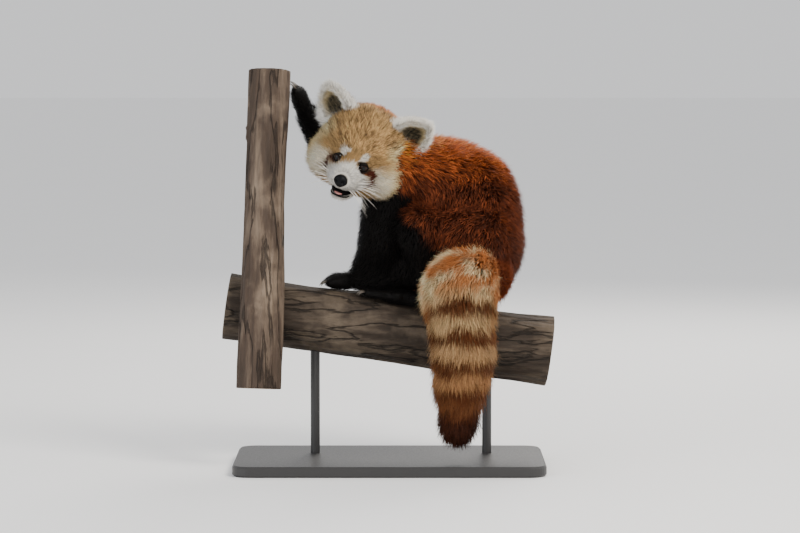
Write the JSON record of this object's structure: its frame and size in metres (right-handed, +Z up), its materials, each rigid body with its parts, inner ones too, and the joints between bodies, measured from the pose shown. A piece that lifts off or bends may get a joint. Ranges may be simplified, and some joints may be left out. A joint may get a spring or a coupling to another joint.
{
  "type": "life-size red panda figure",
  "caption": "Life-size red panda with ringed tail, sitting on a log with one forepaw round an upright stem, held by a low display stand",
  "frame": {"origin": "on the underside of the stand's base, straight below the middle of the log", "axes": "+Z up; +X to the right as seen from the front, along the log; -Y towards the viewer, the side the tail hangs on"},
  "size_m": [0.4984, 0.2774, 0.594],
  "materials": {
    "fur_rust": "long rust-brown coat",
    "fur_black": "dense black-brown coat",
    "fur_white": "coat of the head: white face, rust tear marks and buff crown",
    "fur_tail": "long bushy coat with dark and buff rings",
    "nose": "moist dark skin",
    "eye": "dark, wet",
    "tongue": "moist pink",
    "bark": "weathered grey-brown bark",
    "stand": "satin dark paint"
  },
  "bodies": {
    "root": {"perch_log": "bark", "perch_stem": "bark", "stand_base": "stand", "stand_rod_1": "stand", "stand_rod_2": "stand", "torso": "fur_rust", "neck": "fur_rust", "tail_base": "fur_tail", "tail_middle": "fur_tail", "tail_tip": "fur_tail", "eye_right": "eye", "eye_left": "eye", "nose": "nose", "tongue": "tongue", "head": "fur_white", "jaw": "fur_white", "ear_right": "fur_white", "ear_left": "fur_white", "foreleg_left": "fur_black", "hindleg_left": "fur_rust", "forepaw_left": "fur_black", "hindpaw_left": "fur_black", "foreleg_right": "fur_black", "hindleg_right": "fur_rust", "forepaw_right": "fur_black", "hindpaw_right": "fur_black"}
  },
  "joints": []
}
